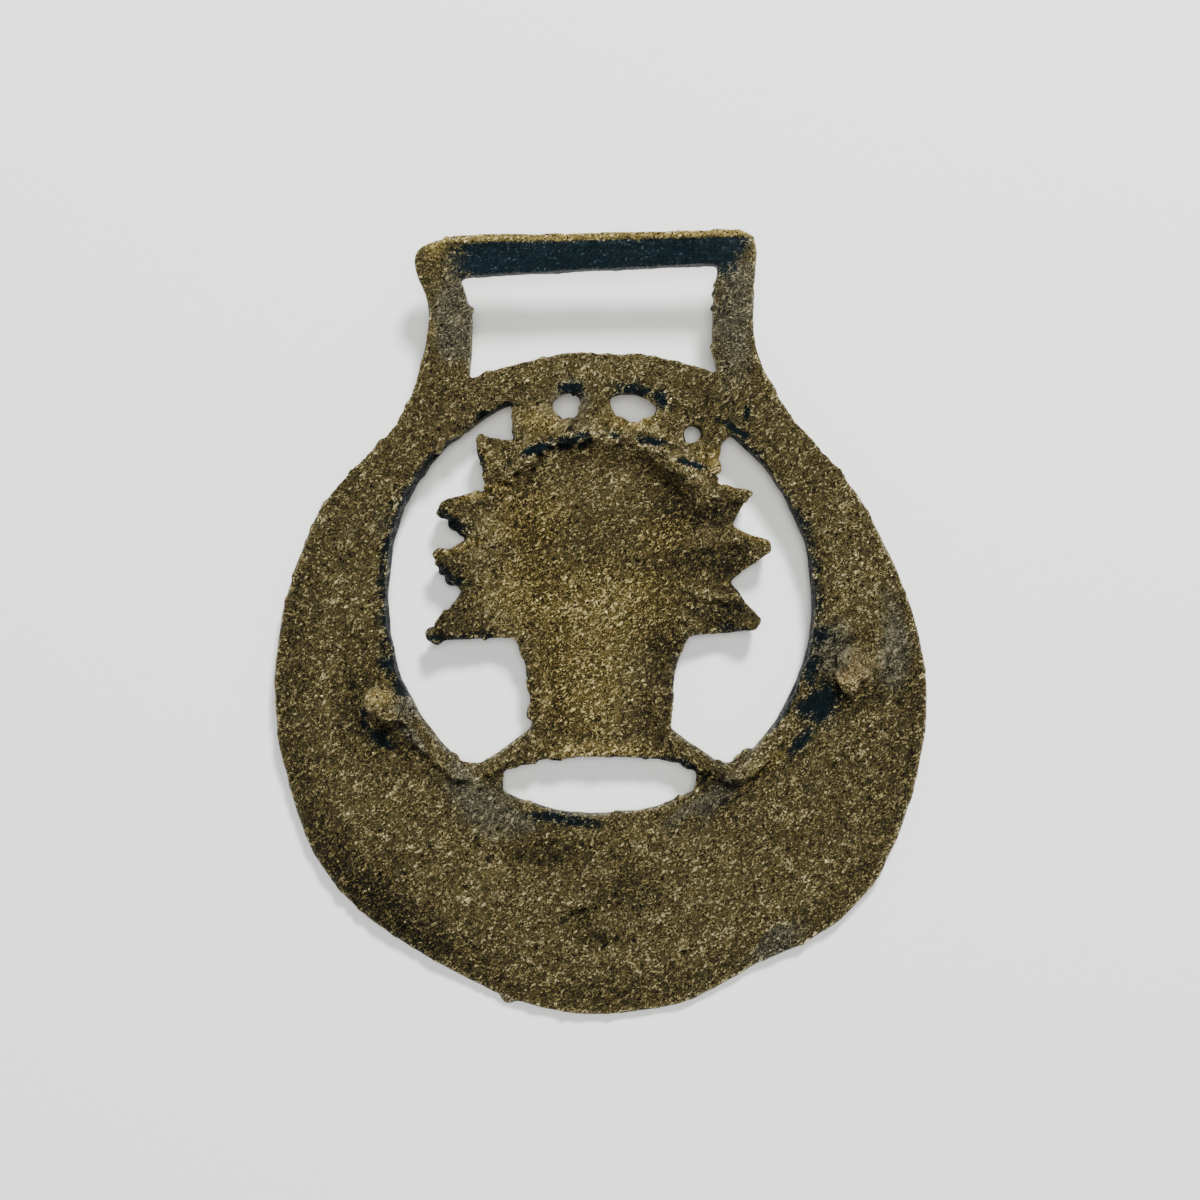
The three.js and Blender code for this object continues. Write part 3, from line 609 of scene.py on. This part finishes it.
class Nodes:
    """Short ways to add shader nodes to a material."""

    def __init__(self, name):
        self.material = bpy.data.materials.new(name)
        self.material.use_nodes = True
        self.tree = self.material.node_tree
        self.shader = self.tree.nodes["Principled BSDF"]

    def add(self, kind, **settings):
        node = self.tree.nodes.new("ShaderNode" + kind)
        for key, value in settings.items():
            setattr(node, key, value)
        return node

    def put(self, socket, value):
        if isinstance(value, bpy.types.NodeSocket):
            self.tree.links.new(value, socket)
        else:
            socket.default_value = value

    def math(self, operation, *values):
        node = self.add("Math", operation=operation)
        for socket, value in zip(node.inputs, values):
            self.put(socket, value)
        return node.outputs[0]

    def attribute(self, name):
        return self.add("Attribute", attribute_name=name).outputs["Fac"]

    def place(self, stretch=(1, 1, 1), degrees=0.0):
        """Object coordinates in millimetres, stretched along a direction turned about Z."""
        coordinates = self.add("TexCoord").outputs["Object"]
        mapping = self.add("Mapping", vector_type="TEXTURE")
        self.put(mapping.inputs["Vector"], coordinates)
        mapping.inputs["Rotation"].default_value = (0, 0, math.radians(degrees))
        mapping.inputs["Scale"].default_value = [MM * s for s in stretch]
        return mapping.outputs["Vector"]

    def noise(self, where, cell, detail=2.0, roughness=0.5, distortion=0.0):
        node = self.add("TexNoise")
        self.put(node.inputs["Vector"], where)
        node.inputs["Scale"].default_value = 1 / cell
        node.inputs["Detail"].default_value = detail
        node.inputs["Roughness"].default_value = roughness
        node.inputs["Distortion"].default_value = distortion
        return node.outputs["Fac"]

    def spread(self, value, low, high, to_low=0.0, to_high=1.0):
        node = self.add("MapRange", interpolation_type="SMOOTHSTEP")
        for socket, number in zip(node.inputs, (value, low, high, to_low, to_high)):
            self.put(socket, number)
        return node.outputs["Result"]

    def ramp(self, value, stops):
        node = self.add("ValToRGB")
        self.put(node.inputs["Fac"], value)
        elements = node.color_ramp.elements
        for _ in range(len(stops) - 2):
            elements.new(0.5)
        for element, (position, colour) in zip(elements, stops):
            element.position = position
            element.color = (*colour, 1)
        return node.outputs["Color"]

    def mix(self, share, one, other):
        node = self.add("Mix", data_type="RGBA")
        self.put(node.inputs["Factor"], share)
        colours = [socket for socket in node.inputs if socket.type == "RGBA"]
        for socket, value in zip(colours, (one, other)):
            self.put(socket, value if isinstance(value, bpy.types.NodeSocket) else (*value, 1))
        return [socket for socket in node.outputs if socket.type == "RGBA"][0]


def brass_material():
    nodes = Nodes("aged_cast_brass")
    shader = nodes.shader
    even = nodes.place()
    chips = nodes.place(stretch=(1.6, 0.9, 1.0), degrees=38)
    chip = nodes.noise(chips, 0.33, detail=2.0, roughness=0.55, distortion=1.4)
    fine = nodes.noise(even, 0.17, detail=1.0, roughness=0.5)
    mottle = nodes.noise(even, 3.0, detail=3.0, roughness=0.6)
    patches = nodes.noise(even, 8.0, detail=2.0)
    specks = nodes.noise(nodes.place(stretch=(1, 1.4, 1), degrees=20), 0.27, detail=1.0)
    calm = nodes.attribute("calm")
    gold_wear_and_highlight = nodes.attribute("gold_wear_and_highlight")
    crest = nodes.attribute("crest")
    crease = nodes.spread(nodes.math("ABSOLUTE", nodes.math("SUBTRACT", chip, 0.5)), 0.0, 0.06)

    contrast = nodes.math("MULTIPLY_ADD", nodes.attribute("warm"), 0.9, nodes.math("SUBTRACT", 1.9, calm))
    chipping = nodes.math("MULTIPLY_ADD", chip, 0.7, nodes.math("MULTIPLY", fine, 0.25))
    level = nodes.math("MULTIPLY_ADD", nodes.math("SUBTRACT", chipping, USUAL_CHIPPING), contrast, 0.645)
    # Painted shade: the grain's crease lines are darkened in colour as well as sunk in the relief
    level = nodes.math("MULTIPLY_ADD", nodes.math("SUBTRACT", crease, 1.0), 0.38, level)
    # Painted glints: bright specks lighten the colour; the dark specks are small dark pits
    level = nodes.math("MULTIPLY_ADD", nodes.spread(specks, 0.68, 0.72), 0.34, level)
    level = nodes.math("MULTIPLY_ADD", nodes.spread(specks, 0.38, 0.31), -0.34, level)
    # Painted shade: steep walls are darkened in colour
    wall = nodes.spread(nodes.attribute("steep"), 0.4, 0.85)
    level = nodes.math("MULTIPLY_ADD", wall, -0.15, level)
    level = nodes.math("MULTIPLY_ADD", crest, 0.24, level)
    # The plan maps shift the colour level: painted shade with patina, painted light, and wear with painted
    # highlights among them
    shares = {"swell": 0.04, "gold_wear_and_highlight": 0.10, "painted_shade_and_patina": -0.15, "warm": 0.02, "light_tone_and_painted_light": 0.07, "painted_light_and_wear": 0.07}
    for name, amount in shares.items():
        level = nodes.math("MULTIPLY_ADD", nodes.attribute(name), amount, level)
    level = nodes.math("MULTIPLY_ADD", nodes.math("SUBTRACT", mottle, 0.5), 0.14, level)
    brown = nodes.ramp(level, [
        (0.26, (0.003, 0.002, 0.001)), (0.38, (0.030, 0.024, 0.009)), (0.48, (0.090, 0.073, 0.027)),
        (0.57, (0.160, 0.128, 0.046)), (0.74, (0.32, 0.258, 0.100)), (0.92, (0.85, 0.74, 0.42)),
    ])
    golden = nodes.ramp(level, [
        (0.26, (0.003, 0.002, 0.001)), (0.38, (0.038, 0.028, 0.008)), (0.48, (0.115, 0.087, 0.024)),
        (0.57, (0.22, 0.164, 0.044)), (0.74, (0.46, 0.35, 0.110)), (0.92, (0.95, 0.80, 0.40)),
    ])
    warm = nodes.math("MAXIMUM", nodes.attribute("warm"), gold_wear_and_highlight)
    colour = nodes.mix(nodes.spread(warm, 0.1, 0.8), brown, golden)

    copper = nodes.math("MULTIPLY", nodes.attribute("copper"), 0.8)
    copper_colour = nodes.ramp(level, [
        (0.34, (0.008, 0.005, 0.003)), (0.54, (0.13, 0.088, 0.042)), (0.80, (0.50, 0.37, 0.19)),
    ])
    colour = nodes.mix(nodes.spread(copper, 0.2, 0.9), colour, copper_colour)

    ragged = nodes.math("MULTIPLY", nodes.math("SUBTRACT", mottle, 0.5), 0.9)
    greying = nodes.math("MULTIPLY_ADD", nodes.spread(patches, 0.45, 0.65), 0.25, nodes.attribute("grey"))
    grey = nodes.spread(nodes.math("ADD", greying, ragged), 0.2, 0.8)
    grey_colour = nodes.ramp(level, [
        (0.32, (0.006, 0.006, 0.004)), (0.48, (0.082, 0.077, 0.050)), (0.66, (0.31, 0.29, 0.19)),
    ])
    colour = nodes.mix(nodes.math("MULTIPLY", grey, 0.8), colour, grey_colour)
    chipped = nodes.math("MULTIPLY_ADD", nodes.math("SUBTRACT", chipping, USUAL_CHIPPING), -2.0, ragged)
    chipped = nodes.math("MULTIPLY_ADD", crest, -0.8, chipped)
    film = nodes.math("MULTIPLY", nodes.attribute("teal"), 1.2)
    # Painted shade: walls that face away from the light take the black-teal film as well as the real teal
    # patina
    film_and_painted_shade = nodes.math("ADD", nodes.math("MAXIMUM", film, nodes.attribute("shade_and_patina_on_walls")), chipped)
    teal = nodes.spread(film_and_painted_shade, 0.2, 0.8)
    black_teal = nodes.ramp(level, [(0.34, (0.0004, 0.0016, 0.002)), (0.70, (0.004, 0.014, 0.018))])
    bar_teal = nodes.ramp(level, [
        (0.42, (0.002, 0.009, 0.013)), (0.64, (0.007, 0.029, 0.041)), (0.84, (0.09, 0.13, 0.13)),
    ])
    teal_colour = nodes.mix(calm, black_teal, bar_teal)
    colour = nodes.mix(teal, colour, teal_colour)
    front = nodes.attribute("front")
    tarnish = nodes.math("MULTIPLY_ADD", mottle, 0.6, nodes.math("MULTIPLY", level, 0.4))
    front_colour = nodes.ramp(tarnish, [
        (0.38, (0.035, 0.024, 0.009)), (0.52, (0.16, 0.11, 0.04)), (0.64, (0.36, 0.26, 0.10)),
    ])
    colour = nodes.mix(front, colour, front_colour)
    nodes.put(shader.inputs["Base Color"], colour)

    bare = nodes.math("MULTIPLY", nodes.spread(level, 0.38, 0.60), nodes.math("SUBTRACT", 1.0, teal))
    metallic = nodes.math("MAXIMUM", bare, nodes.math("MULTIPLY", front, 0.8))
    nodes.put(shader.inputs["Metallic"], nodes.math("MULTIPLY", metallic, 0.85))
    nodes.put(shader.inputs["Roughness"], nodes.spread(level, 0.40, 0.68, 0.58, 0.30))
    shader.inputs["Specular IOR Level"].default_value = 0.12
    bump = nodes.add("Bump")
    bump.inputs["Strength"].default_value = 1.0
    bump.inputs["Distance"].default_value = 0.3 * MM
    relief = nodes.math("MULTIPLY_ADD", chip, 2.4, nodes.math("MULTIPLY", crease, 0.35))
    relief = nodes.math("MULTIPLY_ADD", fine, 0.25, relief)
    smoothed = nodes.math("MULTIPLY_ADD", front, -0.75, nodes.math("MULTIPLY_ADD", calm, -0.4, 1.3))
    nodes.put(bump.inputs["Height"], nodes.math("MULTIPLY", relief, smoothed))
    nodes.put(shader.inputs["Normal"], bump.outputs["Normal"])
    return nodes.material


def floor_material():
    material = bpy.data.materials.new("pale_floor")
    material.use_nodes = True
    shader = material.node_tree.nodes["Principled BSDF"]
    shader.inputs["Base Color"].default_value = (0.86, 0.87, 0.85, 1)
    shader.inputs["Roughness"].default_value = 0.7
    return material


# Setting

def floor():
    half = 1500.0
    points = np.array([(-half, -half, 0), (half, -half, 0), (half, half, 0), (-half, half, 0)])
    obj = mesh_object("floor", points, [np.array([[0, 1, 2, 3]])])
    obj.data.materials.append(floor_material())


def aimed(obj, target):
    direction = obj.location - target
    obj.rotation_euler = direction.to_track_quat("Z", "Y").to_euler()


def area_light(name, place, size, power):
    data = bpy.data.lights.new(name, "AREA")
    data.shape = "SQUARE"
    data.size = size
    data.energy = power
    lamp = bpy.data.objects.new(name, data)
    lamp.location = Vector(place)
    aimed(lamp, Vector((0, 0, 0)))
    bpy.context.scene.collection.objects.link(lamp)


def lights():
    area_light("window", (0.17, 0.54, 0.56), 0.14, 12.4)
    area_light("ceiling", (0.02, 0.05, 0.8), 0.3, 4.6)
    world = bpy.data.worlds.new("room")
    bpy.context.scene.world = world
    world.use_nodes = True
    background = world.node_tree.nodes["Background"]
    background.inputs["Color"].default_value = (1.0, 1.0, 1.0, 1)
    background.inputs["Strength"].default_value = 0.4


def camera():
    data = bpy.data.cameras.new("camera")
    data.sensor_fit = "HORIZONTAL"
    data.sensor_width = SENSOR
    data.lens = LENS
    data.clip_start = 0.01
    data.clip_end = 10.0
    obj = bpy.data.objects.new("camera", data)
    obj.location = [MM * value for value in CAMERA_PLACE]
    bpy.context.scene.collection.objects.link(obj)
    bpy.context.scene.camera = obj


camera()
lights()
floor()
piece = cast_brass()
piece.data.materials.clear()
piece.data.materials.append(brass_material())
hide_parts("horse_brass")
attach(piece, "root")
